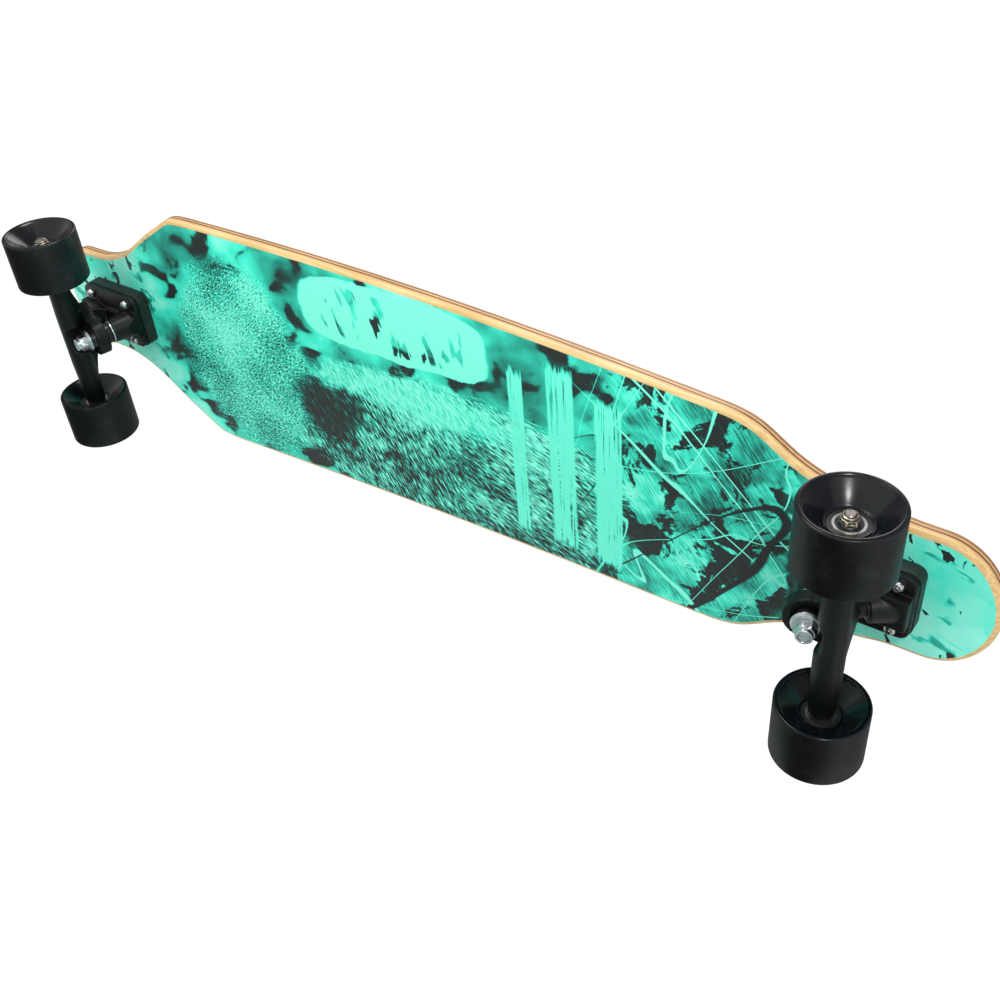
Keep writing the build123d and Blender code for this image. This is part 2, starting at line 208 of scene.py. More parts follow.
def woodGrain(finish, light, deep):
    # long grain along the board, with fine pores
    grain = finish.noise(1.0, 8.0, 0.6, finish.stretched((14, 260, 900)))
    pores = finish.noise(1.0, 3.0, 0.5, finish.stretched((90, 2600, 2600)))
    drift = finish.noise(7.0, 2.0)
    tone = finish.step(grain * 0.7 + drift * 0.3, 0.34, 0.66)
    colour = finish.mix(tone, deep, light)
    return finish.mix(finish.step(pores, 0.55, 0.75, 0.0, 0.35), colour, deep), grain + pores * 0.5


def makeVeneer(kind):
    finish = Finish(kind + "Veneer", Coat_Roughness=0.25, Coat_Weight=0.25)
    colour, relief = woodGrain(finish, *maple[kind])
    finish.feed("Base Color", colour)
    finish.feed("Roughness", maple["rough"] + relief * 0.08)
    finish.bump(relief, 0.00008, 0.6)
    return finish.material


artwork = {
    "charcoal": (0.018, 0.018, 0.020),
    "bottle": (0.006, 0.085, 0.066),
    "teal": (0.024, 0.45, 0.345),
    "mint": (0.060, 0.88, 0.665),
    "pale": (0.31, 0.99, 0.80),
    "grain": 1300.0,
    # patches: centre along and across the board, half sizes, softness and raggedness of the edge
    "hide": (0.03, 0.050, 0.235, 0.080, 0.22, 0.5),
    "downy": (-0.235, 0.015, 0.085, 0.105, 0.30, 0.7),
    "shadow": (-0.128, 0.042, 0.042, 0.042, 0.8, 1.4),
    "fringe": (-0.02, -0.006, 0.125, 0.020, 0.8, 0.9),
    # undergrowth stalks: turn, spread, shift, tone and thickness
    "stalks": (
        (-38, 3.6, 1.7, 0.92, 0.0070), (22, 4.4, 4.1, 0.84, 0.0045),
        (64, 4.1, 9.3, 0.90, 0.0050), (50, 3.0, 7.3, 0.02, 0.0100)),
    # brush strokes: centre and half size along the board, then across it
    "strokes": ((0.098, 0.0075, 0.008, 0.086), (0.143, 0.013, 0.0, 0.092), (0.189, 0.013, 0.010, 0.084)),
    "strokeTone": 0.84,
    "blank": {"x": -0.035, "y": -0.078, "halfX": 0.106, "halfY": 0.034, "tone": 0.90},
}


def makeArtwork():
    # duotone print on the flat underside; the rounded edge of the same ply is bare wood
    finish = Finish("printedVeneer", Specular_IOR_Level=0.28)
    x, y = finish.x, finish.y
    wobble = finish.noise(28.0, 4.0) - 0.5
    fray = finish.noise(1.0, 5.0, 0.6, finish.stretched((30, 420, 1))) - 0.5
    grain = finish.noise(artwork["grain"], 3.0, 0.7) - 0.5

    def patch(centreX, centreY, halfX, halfY, soft, ragged):
        across = (x - centreX) / halfX + wobble * ragged
        up = (y - centreY) / halfY + fray * ragged
        return finish.step(across * across + up * up, 1 + soft, 1 - soft)

    # out-of-focus leaves: soft dark blotches on teal
    leaves = finish.noise(26.0, 2.5, 0.5, finish.stretched((1, 1.25, 1), 20), 0.35)
    bright = finish.noise(13.0, 2.0, 0.5, finish.stretched((1, 1, 1), 0, (3, 1, 0)))
    value = 0.60 + (bright - 0.5) * 1.5 + (leaves - 0.5) * 0.9
    value = finish.blend(finish.step(leaves, 0.46, 0.38), value, 0.08)

    # coarse pelt of short streaks: near black or mint, by how dark that stretch is
    finer = finish.noise(1.0, 3.0, 0.55, finish.stretched((110, 820, 1), -24), 0.12)
    crossed = finish.noise(1.0, 3.0, 0.55, finish.stretched((95, 700, 1), -58), 0.12)
    tufts = finish.noise(30.0, 4.0, 0.6, None, 0.6)
    swirl = finish.step(x + wobble * 0.12, -0.05, 0.10)
    streaks = finish.blend(swirl, crossed, finer)
    shade = finish.step(y + wobble * 0.07, -0.015, 0.055, 0.34, -0.16)
    pelt = 0.46 + (streaks - 0.5) * 6.5 + (tufts - 0.5) * 2.6 + shade
    hide = patch(*artwork["hide"])
    value = finish.blend(hide, value, pelt)
    soft = finish.noise(1.0, 4.0, 0.6, finish.stretched((240, 900, 1), 38), 0.15)
    downy = patch(*artwork["downy"])
    value = finish.blend(downy, value, 0.66 + (soft - 0.5) * 3.6 + (bright - 0.5) * 1.4)
    shadow = patch(*artwork["shadow"])
    value = finish.blend(shadow, value, 0.06 + (streaks - 0.5) * 1.6)
    fringe = patch(*artwork["fringe"])
    value = finish.blend(fringe * 0.85, value, 0.88 + (crossed - 0.5) * 1.4)

    # undergrowth near the rear shoulder: dark clumps, pale stalks and thin dark blades
    clumps = finish.noise(21.0, 5.0, 0.62, finish.stretched((1, 1.3, 1), 40, (5, 2, 0)), 0.6)
    blades = finish.noise(1.0, 5.0, 0.6, finish.stretched((60, 620, 1), -52), 0.8)
    scrub = 0.60 + (blades - 0.5) * 1.2 + (bright - 0.5) * 1.2 + (leaves - 0.5) * 1.3
    scrub = finish.blend(finish.step(clumps, 0.49, 0.45), scrub, 0.04 + (blades - 0.5) * 1.2)
    brush = finish.step(x + wobble * 0.10, 0.15, 0.23) * finish.step(x + wobble * 0.06, 0.385, 0.33)
    value = finish.blend(brush, value, scrub)
    for turn, spread, shift, tone, reach in artwork["stalks"]:
        bend = finish.noise(spread, 1.5, 0.4, finish.stretched((1, 3.8, 1), turn, (shift, shift, 0)), 0.3)
        stalk = finish.step(abs(bend - 0.5), reach, reach * 0.45)
        value = finish.blend(stalk * finish.step(x, 0.12, 0.22), value, tone)

    # plain brush strokes across the board, and one pale ragged-edged patch
    bristles = finish.noise(1.0, 5.0, 0.7, finish.stretched((420, 9, 1)))
    for centreX, halfX, centreY, halfY in artwork["strokes"]:
        side = finish.step(abs(x - centreX + wobble * 0.003) / halfX, 1.06, 0.92)
        tip = finish.step(abs(y - centreY) / halfY + (bristles - 0.5) * 0.5, 1.02, 0.96)
        value = finish.blend(side * tip * finish.step(bristles, 0.37, 0.45), value, artwork["strokeTone"])
    blank = artwork["blank"]
    across = (x - blank["x"]) / blank["halfX"] + wobble * 0.16
    up = (y - blank["y"]) / blank["halfY"] + wobble * 0.40
    rim = across * across * across * across + up * up * up * up
    flecks = finish.noise(1.0, 2.0, 0.5, finish.stretched((105, 26, 1), 12, (2, 7, 0)), 0.4)
    cut = finish.step(flecks, 0.565, 0.595) * finish.step(rim, 0.42, 0.32)
    value = finish.blend(finish.step(rim, 1.10, 0.94) * (1 - cut), value, blank["tone"])

    # the ends fade to mint with a few dark strokes
    ends = finish.step(abs(x) + wobble * 0.05, 0.335, 0.40)
    marks = finish.noise(1.0, 3.5, 0.55, finish.stretched((60, 34, 1), 18), 0.5)
    dabs = finish.noise(1.0, 3.0, 0.5, finish.stretched((34, 70, 1), -20, (4, 9, 2)), 0.4)
    plain = 0.86 + (bright - 0.5) * 0.9 + (marks - 0.5) * 0.35
    plain = finish.blend(finish.step(marks, 0.60, 0.64), plain, 0.08)
    plain = finish.blend(finish.step(dabs, 0.60, 0.68) * 0.7, plain, 0.30)
    value = finish.blend(ends, value, plain)

    value = value + grain * finish.step(value, 0.75, 0.15, 0.06, 0.42)
    ink = finish.ramp(
        value, (0.10, artwork["charcoal"]), (0.27, artwork["bottle"]), (0.50, artwork["teal"]),
        (0.74, artwork["mint"]), (0.95, artwork["pale"]))
    bare, relief = woodGrain(finish, *maple["pale"])
    facing = finish.node("ShaderNodeTexCoord", out="Normal")
    down = Wire(finish, finish.node("ShaderNodeSeparateXYZ", inputs={0: facing}).socket.node.outputs[2])
    printed = finish.step(down, -0.988, -0.994)
    finish.feed("Base Color", finish.mix(printed, bare, ink))
    finish.feed("Roughness", finish.blend(printed, 0.40 + relief * 0.08, 0.50 + grain * 0.12))
    finish.bump(finish.blend(printed, relief, grain * 0.5), 0.00006, 0.5)
    return finish.material


castPaint = {"colour": (0.0042, 0.0048, 0.0053), "worn": (0.05, 0.05, 0.052), "orange": 700.0}


def makeCastPaint():
    # satin black over a cast skin: fine orange peel and a few scuffs
    finish = Finish("castPaint", Specular_IOR_Level=0.30)
    peel = finish.noise(castPaint["orange"], 3.0, 0.6)
    cloud = finish.noise(60.0, 4.0, 0.6)
    scuff = finish.noise(1.0, 4.0, 0.7, finish.stretched((180, 900, 420), 30))
    marks = finish.step(scuff, 0.70, 0.80) * finish.step(cloud, 0.50, 0.62)
    finish.feed("Base Color", finish.mix(marks * 0.7, castPaint["colour"], castPaint["worn"]))
    finish.feed("Roughness", 0.34 + cloud * 0.16 + marks * 0.2)
    finish.bump(peel + cloud * 0.8, 0.00010, 0.7)
    return finish.material


urethane = {"colour": (0.0034, 0.0044, 0.0060), "dust": (0.030, 0.034, 0.039),
            "wheelX": 0.411, "wheelZ": 0.035, "treadFrom": 0.0342, "treadTo": 0.0348}


def makeWheelUrethane():
    # satin tread with rolling marks, glossy turned recesses
    finish = Finish("wheelUrethane", Specular_IOR_Level=0.32)
    run = abs(finish.x) - urethane["wheelX"]
    rise = finish.z - urethane["wheelZ"]
    radius = (run * run + rise * rise) ** 0.5
    tread = finish.step(radius, urethane["treadFrom"], urethane["treadTo"])
    rings = finish.noise(1.0, 5.0, 0.7, finish.node("ShaderNodeCombineXYZ", inputs={
        0: radius * 2600.0, 1: abs(finish.y) * 900.0, 2: 0.0}))
    cloud = finish.noise(55.0, 5.0, 0.6)
    speck = finish.noise(1900.0, 2.0, 0.6)
    dust = finish.step(cloud + speck * 0.35, 0.66, 0.90)
    finish.feed("Base Color", finish.mix(dust * tread * 0.55, urethane["colour"], urethane["dust"]))
    glossy = 0.15 + rings * 0.12
    finish.feed("Roughness", finish.blend(tread, glossy, 0.40 + cloud * 0.14))
    finish.bump(finish.blend(tread, rings * 0.35, speck + cloud * 0.6), 0.00006, 0.7)
    return finish.material


def makeSoftBlack(name, colour, rough, scale, relief):
    finish = Finish(name, Specular_IOR_Level=0.4)
    speck = finish.noise(scale, 4.0, 0.6)
    cloud = finish.noise(scale * 0.06, 3.0, 0.5)
    lighter = tuple(min(1.0, c * 2.4 + 0.004) for c in colour)
    patchy = finish.step(speck * 0.5 + cloud * 0.5, 0.40, 0.75)
    finish.feed("Base Color", finish.mix(patchy, colour, lighter))
    finish.feed("Roughness", rough + (speck - 0.5) * 0.2)
    finish.bump(speck + cloud, relief, 0.6)
    return finish.material


def makeMetal(name, colour, rough, stain, brushed):
    # plated steel: cloudy plating, fine turning lines and a little stain
    finish = Finish(name, Metallic=1.0)
    cloud = finish.noise(240.0, 5.0, 0.6)
    lines = finish.noise(1.0, 4.0, 0.7, finish.stretched((500, 4200, 500)))
    finish.feed("Base Color", finish.mix(finish.step(cloud, 0.42, 0.72, 0.0, 0.8), colour, stain))
    finish.feed("Roughness", rough + cloud * 0.16 + (lines - 0.5) * brushed)
    finish.bump(lines + cloud * 0.4, 0.000010, 0.5)
    return finish.material


gripGrit = makeGrit()
paleVeneer = makeVeneer("pale")
warmVeneer = makeVeneer("warm")
tanVeneer = makeVeneer("tan")
rustVeneer = makeVeneer("rust")
darkVeneer = makeVeneer("dark")
printedVeneer = makeArtwork()
castBlack = makeCastPaint()
wheelUrethane = makeWheelUrethane()
padRubber = makeSoftBlack("padRubber", (0.011, 0.013, 0.013), 0.55, 900.0, 0.00012)
bushingUrethane = makeSoftBlack("bushingUrethane", (0.010, 0.010, 0.011), 0.30, 600.0, 0.00004)
cupNylon = makeSoftBlack("cupNylon", (0.014, 0.014, 0.015), 0.38, 800.0, 0.00003)
corePlastic = makeSoftBlack("corePlastic", (0.012, 0.012, 0.013), 0.33, 700.0, 0.00004)
sealRubber = makeSoftBlack("sealRubber", (0.016, 0.015, 0.014), 0.42, 900.0, 0.00003)
insertNylon = makeSoftBlack("insertNylon", (0.30, 0.62, 0.55), 0.35, 700.0, 0.00003)
brightZinc = makeMetal("brightZinc", (0.74, 0.76, 0.78), 0.22, (0.60, 0.63, 0.66), 0.06)
darkSteel = makeMetal("darkSteel", (0.34, 0.33, 0.32), 0.26, (0.16, 0.15, 0.14), 0.1)
bearingSteel = makeMetal("bearingSteel", (0.46, 0.47, 0.48), 0.24, (0.34, 0.34, 0.33), 0.06)
axleSteel = makeMetal("axleSteel", (0.26, 0.24, 0.22), 0.30, (0.17, 0.14, 0.11), 0.1)
yellowZinc = makeMetal("yellowZinc", (0.46, 0.41, 0.33), 0.20, (0.24, 0.21, 0.16), 0.08)
print("materials made")


def finishPiece(name, mesh, material, body, replaced=(), crease=38.0):
    # merge, face outwards, smooth within the crease angle, then give it to its body
    work = bmesh.new()
    work.from_mesh(mesh)
    bmesh.ops.remove_doubles(work, verts=work.verts, dist=0.002 * mm)
    bmesh.ops.dissolve_degenerate(work, edges=work.edges, dist=0.001 * mm)
    bmesh.ops.recalc_face_normals(work, faces=work.faces)
    work.to_mesh(mesh)
    work.free()
    mesh.materials.clear()
    mesh.materials.append(material)
    mesh.polygons.foreach_set("material_index", np.zeros(len(mesh.polygons), np.int32))
    mesh.shade_smooth()
    mesh.set_sharp_from_angle(angle=math.radians(crease))
    piece = bpy.data.objects.new(name, mesh)
    scene.collection.objects.link(piece)
    if body:
        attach(piece, body)
    if replaced:
        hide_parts(*replaced)
    return piece


def softened(corners, steps=5):
    # corners are (radius, height, rounding); each is rounded by a short curve, closed loop
    loop = []
    count = len(corners)
    for index, (r, h, rounding) in enumerate(corners):
        here = np.array((r, h), float)
        if rounding <= 0:
            loop.append(tuple(here))
            continue
        before = np.array(corners[index - 1][:2], float) - here
        after = np.array(corners[(index + 1) % count][:2], float) - here
        start = here + before / np.linalg.norm(before) * min(rounding, np.linalg.norm(before) * 0.49)
        end = here + after / np.linalg.norm(after) * min(rounding, np.linalg.norm(after) * 0.49)
        for t in np.linspace(0, 1, steps):
            loop.append(tuple((1 - t) ** 2 * start + 2 * t * (1 - t) * here + t * t * end))
    return loop


def turnedRings(loop, segments, limit=lambda angle: 1e9):
    # points and faces of a closed profile turned about Z; limit(angle) caps the radius, as for a hexagon
    points = []
    for index in range(segments):
        angle = 2 * math.pi * index / segments
        cap = limit(angle)
        for r, h in loop:
            reach = min(r, cap) * mm
            points.append((reach * math.cos(angle), reach * math.sin(angle), h * mm))
    size = len(loop)
    faces = []
    for index in range(segments):
        following = (index + 1) % segments
        for j in range(size):
            k = (j + 1) % size
            faces.append((index * size + j, following * size + j, following * size + k, index * size + k))
    return points, faces


def placedMesh(name, shapes):
    # joins (points, faces, matrix) shapes in one mesh
    points, faces = [], []
    for shapePoints, shapeFaces, place in shapes:
        base = len(points)
        points.extend(place @ Vector(p) for p in shapePoints)
        faces.extend(tuple(base + i for i in face) for face in shapeFaces)
    mesh = bpy.data.meshes.new(name)
    mesh.from_pydata([tuple(p) for p in points], [], faces)
    return mesh


def hexCap(flats):
    def cap(angle):
        turn = (angle + math.pi / 6) % (math.pi / 3) - math.pi / 6
        return flats / 2 / math.cos(turn)
    return cap


truck = {"kingpinTilt": 16.0, "kingpinX": 386.6, "kingpinZ": 54.0, "boltLength": 54.0, "boltWidth": 41.3}
ends = {"rear": 1, "front": -1}
sides = {"left": -1, "right": 1}


def axleCentre(end):
    low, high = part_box(end + "_axle")
    return (low + high) / 2


def wheelPlace(end, side):
    # Z runs out along the axle, from the board's middle line
    place = axleCentre(end)
    place.y = 0
    out = Vector((0, sides[side], 0))
    across = Vector((1, 0, 0))
    turn = Matrix((across, out.cross(across), out)).transposed().to_4x4()
    return Matrix.Translation(place) @ turn


def kingpinPlace(end, along=0.0):
    # Z runs along the kingpin towards its nut
    tilt = math.radians(truck["kingpinTilt"])
    way = Vector((math.sin(tilt) * ends[end], 0, -math.cos(tilt)))
    base = Vector((truck["kingpinX"] * ends[end], 0, truck["kingpinZ"])) * mm
    across = Vector((0, 1, 0))
    turn = Matrix((across, way.cross(across), way)).transposed().to_4x4()
    return Matrix.Translation(base + way * along * mm) @ turn


def boltSpots():
    low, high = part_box("rear_riser_pad")
    middle = (low.x + high.x) / 2 / mm
    return [(side * middle + dx * truck["boltLength"] / 2, dy * truck["boltWidth"] / 2)
            for side in (-1, 1) for dx in (-1, 1) for dy in (-1, 1)]


def newTree(name, inputs):
    tree = bpy.data.node_groups.new(name, "GeometryNodeTree")
    tree.interface.new_socket("Geometry", in_out="INPUT", socket_type="NodeSocketGeometry")
    for label, kind in inputs.items():
        tree.interface.new_socket(label, in_out="INPUT", socket_type=kind)
    tree.interface.new_socket("Geometry", in_out="OUTPUT", socket_type="NodeSocketGeometry")
    entry = tree.nodes.new("NodeGroupInput")
    leave = tree.nodes.new("NodeGroupOutput")
    return tree, entry, leave


def threadTree():
    # a ridge wound round a rod: spiral, triangular section, closed ends
    tree, entry, leave = newTree("threadRidge", {
        "Radius": "NodeSocketFloat", "Pitch": "NodeSocketFloat", "Turns": "NodeSocketFloat",
        "Ridge": "NodeSocketFloat", "Finish": "NodeSocketMaterial"})
    link = tree.links.new
    height = tree.nodes.new("ShaderNodeMath")
    height.operation = "MULTIPLY"
    link(entry.outputs["Pitch"], height.inputs[0])
    link(entry.outputs["Turns"], height.inputs[1])
    spiral = tree.nodes.new("GeometryNodeCurveSpiral")
    spiral.inputs["Resolution"].default_value = 28
    link(entry.outputs["Turns"], spiral.inputs["Rotations"])
    link(entry.outputs["Radius"], spiral.inputs["Start Radius"])
    link(entry.outputs["Radius"], spiral.inputs["End Radius"])
    link(height.outputs[0], spiral.inputs["Height"])
    section = tree.nodes.new("GeometryNodeCurvePrimitiveCircle")
    section.inputs["Resolution"].default_value = 5
    link(entry.outputs["Ridge"], section.inputs["Radius"])
    sweep = tree.nodes.new("GeometryNodeCurveToMesh")
    sweep.inputs["Fill Caps"].default_value = True
    link(spiral.outputs["Curve"], sweep.inputs["Curve"])
    link(section.outputs["Curve"], sweep.inputs["Profile Curve"])
    real = tree.nodes.new("GeometryNodeRealizeInstances")
    paint = tree.nodes.new("GeometryNodeSetMaterial")
    link(sweep.outputs["Mesh"], real.inputs["Geometry"])
    link(real.outputs["Geometry"], paint.inputs["Geometry"])
    link(entry.outputs["Finish"], paint.inputs["Material"])
    link(paint.outputs["Geometry"], leave.inputs["Geometry"])
    return tree


def scatterTree():
    # one part on every point of the base, upright
    tree, entry, leave = newTree("partOnPoints", {
        "Part": "NodeSocketObject", "Size": "NodeSocketFloat", "Finish": "NodeSocketMaterial"})
    link = tree.links.new
    info = tree.nodes.new("GeometryNodeObjectInfo")
    link(entry.outputs["Part"], info.inputs["Object"])
    place = tree.nodes.new("GeometryNodeInstanceOnPoints")
    link(entry.outputs["Geometry"], place.inputs["Points"])
    link(info.outputs["Geometry"], place.inputs["Instance"])
    link(entry.outputs["Size"], place.inputs["Scale"])
    real = tree.nodes.new("GeometryNodeRealizeInstances")
    paint = tree.nodes.new("GeometryNodeSetMaterial")
    link(place.outputs["Instances"], real.inputs["Geometry"])
    link(real.outputs["Geometry"], paint.inputs["Geometry"])
    link(entry.outputs["Finish"], paint.inputs["Material"])
    link(paint.outputs["Geometry"], leave.inputs["Geometry"])
    return tree


def grow(tree, name, values, spots=()):
    # runs a tree on a mesh of points and returns the result as a plain mesh
    seed = bpy.data.meshes.new(name + "Seed")
    seed.from_pydata([tuple(s) for s in spots], [], [])
    host = bpy.data.objects.new(name + "Host", seed)
    scene.collection.objects.link(host)
    modifier = host.modifiers.new("grow", "NODES")
    modifier.node_group = tree
    for socket in tree.interface.items_tree:
        if socket.in_out == "INPUT" and socket.name in values:
            modifier[socket.identifier] = values[socket.name]
    bpy.context.view_layer.update()
    graph = bpy.context.evaluated_depsgraph_get()
    mesh = bpy.data.meshes.new_from_object(host.evaluated_get(graph), depsgraph=graph)
    mesh.name = name
    host.modifiers.clear()
    bpy.data.objects.remove(host)
    return mesh


threadRidges = threadTree()
partOnPoints = scatterTree()


def scattered(name, part, spots, material, body, replaced=()):
    holder = bpy.data.objects.new(name + "Part", part)
    scene.collection.objects.link(holder)
    mesh = grow(partOnPoints, name, {"Part": holder, "Size": 1.0, "Finish": material}, spots)
    bpy.data.objects.remove(holder)
    return finishPiece(name, mesh, material, body, replaced)


def windThread(name, radius, pitch, turns, places, material, body, slot):
    # the same thread at each place, in one piece
    one = grow(threadRidges, name, {
        "Radius": radius * mm, "Pitch": pitch * mm, "Turns": turns, "Ridge": pitch * 0.3 * mm,
        "Finish": material})
    points = [v.co.copy() for v in one.vertices]
    faces = [tuple(p.vertices) for p in one.polygons]
    mesh = placedMesh(name, [(points, faces, place) for place in places])
    return finishPiece(name, mesh, material, body)


def finishDeck():
    # thin veneers seen at the edge: print below, two dark-dyed lines above
    looks = {1: printedVeneer, 2: paleVeneer, 3: warmVeneer, 4: darkVeneer, 5: warmVeneer, 6: rustVeneer,
             7: tanVeneer}
    for index, material in looks.items():
        paintNode(f"deck_ply_{index}", material)
    paintNode("grip_tape", gripGrit)


def paintNode(name, material):
    mesh = nodes[name].data
    if not mesh.materials:
        mesh.materials.append(material)
    for index in range(len(mesh.materials)):
        mesh.materials[index] = material


casting = {"voxel": 0.75, "factor": 0.5}


def castPiece(node, body, smoothing):
    # a copy of the part, remeshed and relaxed so that its edges round over as a casting's do
    source = nodes[node].data.copy()
    work = bmesh.new()
    work.from_mesh(source)
    bmesh.ops.remove_doubles(work, verts=work.verts, dist=0.01 * mm)
    work.to_mesh(source)
    work.free()
    host = bpy.data.objects.new(node + "Host", source)
    scene.collection.objects.link(host)
    remesh = host.modifiers.new("remesh", "REMESH")
    remesh.mode = "VOXEL"
    remesh.voxel_size = casting["voxel"] * 1.0 * mm
    relax = host.modifiers.new("relax", "SMOOTH")
    relax.factor = casting["factor"]
    relax.iterations = smoothing
    bpy.context.view_layer.update()
    graph = bpy.context.evaluated_depsgraph_get()
    mesh = bpy.data.meshes.new_from_object(host.evaluated_get(graph), depsgraph=graph)
    host.modifiers.clear()
    bpy.data.objects.remove(host)
    return finishPiece(node + "_casting", mesh, castBlack, body, (node,), crease=60.0)


tyre = {
    "radius": 35.0, "inner": 66.0, "width": 51.0, "treadRound": 1.6, "lip": 31.6, "lipStep": 0.7,
    "foot": 16.0, "bore": 14.2, "outerDepth": 15.0, "innerDepth": 12.0, "groove": 0.3, "bulge": 1.3,
    "segments": 160,
}


def faceLoop(face, depth, way):
    # one side of the tyre from tread to bore: lip, two fine grooves, step, curved recess, flat foot
    corner, edge = tyre["treadRound"], tyre["radius"] - tyre["treadRound"]
    lip, foot, bore = tyre["lip"], tyre["foot"], tyre["bore"]
    loop = [(tyre["radius"] - corner * (1 - math.cos(a)), corner * (1 - math.sin(a)))
            for a in np.linspace(0, math.pi / 2, 9)]
    for grooveR in (edge - 0.3, edge - 0.95):
        loop += [(grooveR + 0.16, 0), (grooveR, tyre["groove"]), (grooveR - 0.16, 0)]
    loop += [(lip + 0.15, 0), (lip, 0.12), (lip - 0.3, tyre["lipStep"])]
    start = np.array((lip - 0.9, tyre["lipStep"] + 0.25))
    end = np.array((foot + 0.6, depth - 0.25))
    for along in np.linspace(0, 1, 15):
        bulge = tyre["bulge"] * math.sin(math.pi * along)
        loop.append(tuple(start + (end - start) * along + np.array((-bulge, bulge * 0.6))))
    loop += [(foot, depth), (bore + 1.2, depth), (bore + 1.0, depth - 0.7), (bore + 0.25, depth - 0.7)]
    loop += [(bore, depth - 0.45)]
    return [(r, face + way * h) for r, h in loop]


def makeTyre(end, side):
    name = f"{end}_{side}_tyre"
    low = tyre["inner"]
    high = low + tyre["width"]
    loop = faceLoop(high, tyre["outerDepth"], -1) + faceLoop(low, tyre["innerDepth"], 1)[::-1]
    points, faces = turnedRings(loop, tyre["segments"])
    mesh = placedMesh(name, [(points, faces, wheelPlace(end, side))])
    finishPiece(name + "_turned", mesh, wheelUrethane, f"{end}_{side}_wheel", (name,),
                crease=50.0)


seal = {
    "inner": 6.2, "outer": 9.1, "places": (78.3, 84.35, 95.3, 101.35), "thick": 0.35, "segments": 72,
    "pressing": ((8.7, -0.05), (8.5, -0.18), (8.2, -0.18), (8.0, 0.02), (6.7, 0.02), (6.5, -0.12)),
}


def makeSeals(end, side):
    # each shield is pressed: a flat rim, a groove and a raised inner band
    name = f"{end}_{side}_bearing_shields"
    shapes = []
    for index, low in enumerate(seal["places"]):
        way = -1 if index % 2 == 0 else 1
        face = low if way < 0 else low + seal["thick"]
        back = low + seal["thick"] if way < 0 else low
        loop = [(seal["outer"], back), (seal["outer"], face)]
        loop += [(r, face + way * rise) for r, rise in seal["pressing"]]
        loop += [(seal["inner"], face - way * 0.12), (seal["inner"], back)]
        shapes.append((*turnedRings(loop, seal["segments"]), wheelPlace(end, side)))
    mesh = placedMesh(name, shapes)
    finishPiece(name + "_pressed", mesh, sealRubber, f"{end}_{side}_wheel", (name,))


nut = {  # across the flats, height and hole; an insert's hole is a touch wider
    "axle": (12.7, 6.4, 3.95), "kingpin": (14.3, 11.4, 4.70), "lock": (8.0, 4.5, 2.40),
    "insertGap": 0.02, "axleStart": 103.0, "kingpinStart": 19.5,
}
thread = {"axle": (3.80, 0.7, 1.8), "axleStart": 108.6, "bolt": (2.36, 0.8, 7.5), "boltStart": 0.5}


def nylocShape(flats, height, hole):
    # hexagon with turned corners, then a round collar curled in over the insert
    corner = flats / math.sqrt(3)
    hexTop = height * 0.68
    collar = flats * 0.44
    bevel = flats * 0.07
    loop = softened([
        (hole, 0.0, 0.2), (flats * 0.485, 0.0, 0.0), (corner, bevel, 0.0), (corner, hexTop - bevel, 0.0),
        (flats * 0.485, hexTop, 0.15), (collar, hexTop + 0.1, 0.1), (collar, height - 0.5, 0.6),
        (collar - flats * 0.10, height, 0.3), (collar - flats * 0.12, height - 0.35, 0.1),
        (hole, height - 0.4, 0.1)])
    return turnedRings(loop, 96, hexCap(flats))


def insertShape(flats, height, hole):
    hole += nut["insertGap"]
    loop = softened([
        (hole, height - 0.7, 0.0), (flats * 0.33, height - 0.7, 0.0), (flats * 0.33, height - 0.05, 0.15),
        (hole + 0.3, height - 0.15, 0.1), (hole, height - 0.4, 0.05)])
    return turnedRings(loop, 64)


def placedNut(name, kind, places, steel, insert, body):
    # the steel nut stands in for the plain one, and its nylon ring is a piece of its own
    suffix = "_inserts" if len(places) > 1 else "_insert"
    steelMesh = placedMesh(name, [(*nylocShape(*nut[kind]), place) for place in places])
    finishPiece(name + "_nyloc", steelMesh, steel, body, (name,), crease=30.0)
    ringMesh = placedMesh(name, [(*insertShape(*nut[kind]), place) for place in places])
    finishPiece(name + suffix, ringMesh, insert, body)


def makeNuts(end):
    hanger = end + "_hanger"
    hubs = [wheelPlace(end, side) for side in sides]
    seats = [hub @ Matrix.Translation((0, 0, nut["axleStart"] * mm)) for hub in hubs]
    placedNut(end + "_axle_nuts", "axle", seats, yellowZinc, sealRubber, hanger)
    kingpinSeat = kingpinPlace(end, nut["kingpinStart"])
    placedNut(end + "_kingpin_nut", "kingpin", [kingpinSeat], brightZinc, insertNylon, "deck")
    tips = [hub @ Matrix.Translation((0, 0, thread["axleStart"] * mm)) for hub in hubs]
    windThread(end + "_axle_threads", *thread["axle"], tips, axleSteel, hanger, "axle_steel")


def makeMountingHardware():
    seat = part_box("mounting_nuts")[1].z
    part = placedMesh("lockNut", [(*nylocShape(*nut["lock"]), Matrix.Identity(4))])
    part.transform(Matrix.Rotation(math.pi, 4, "X"))
    spots = [(x * mm, y * mm, seat) for x, y in boltSpots()]
    scattered("mounting_nuts_nyloc", part, spots, brightZinc, "deck", ("mounting_nuts",))
    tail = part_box("mounting_bolts")[0].z + thread["boltStart"] * mm
    tails = [Matrix.Translation((x * mm, y * mm, tail)) for x, y in boltSpots()]
    windThread("mounting_bolt_threads", *thread["bolt"], tails, darkSteel, "deck", "bolt_steel")


bushing = {
    "radius": 10.6, "cone": 8.8, "hole": 4.75, "boardLow": -6.0, "webLow": 3.6, "webHigh": 8.6,
    "roadHigh": 18.0,
}


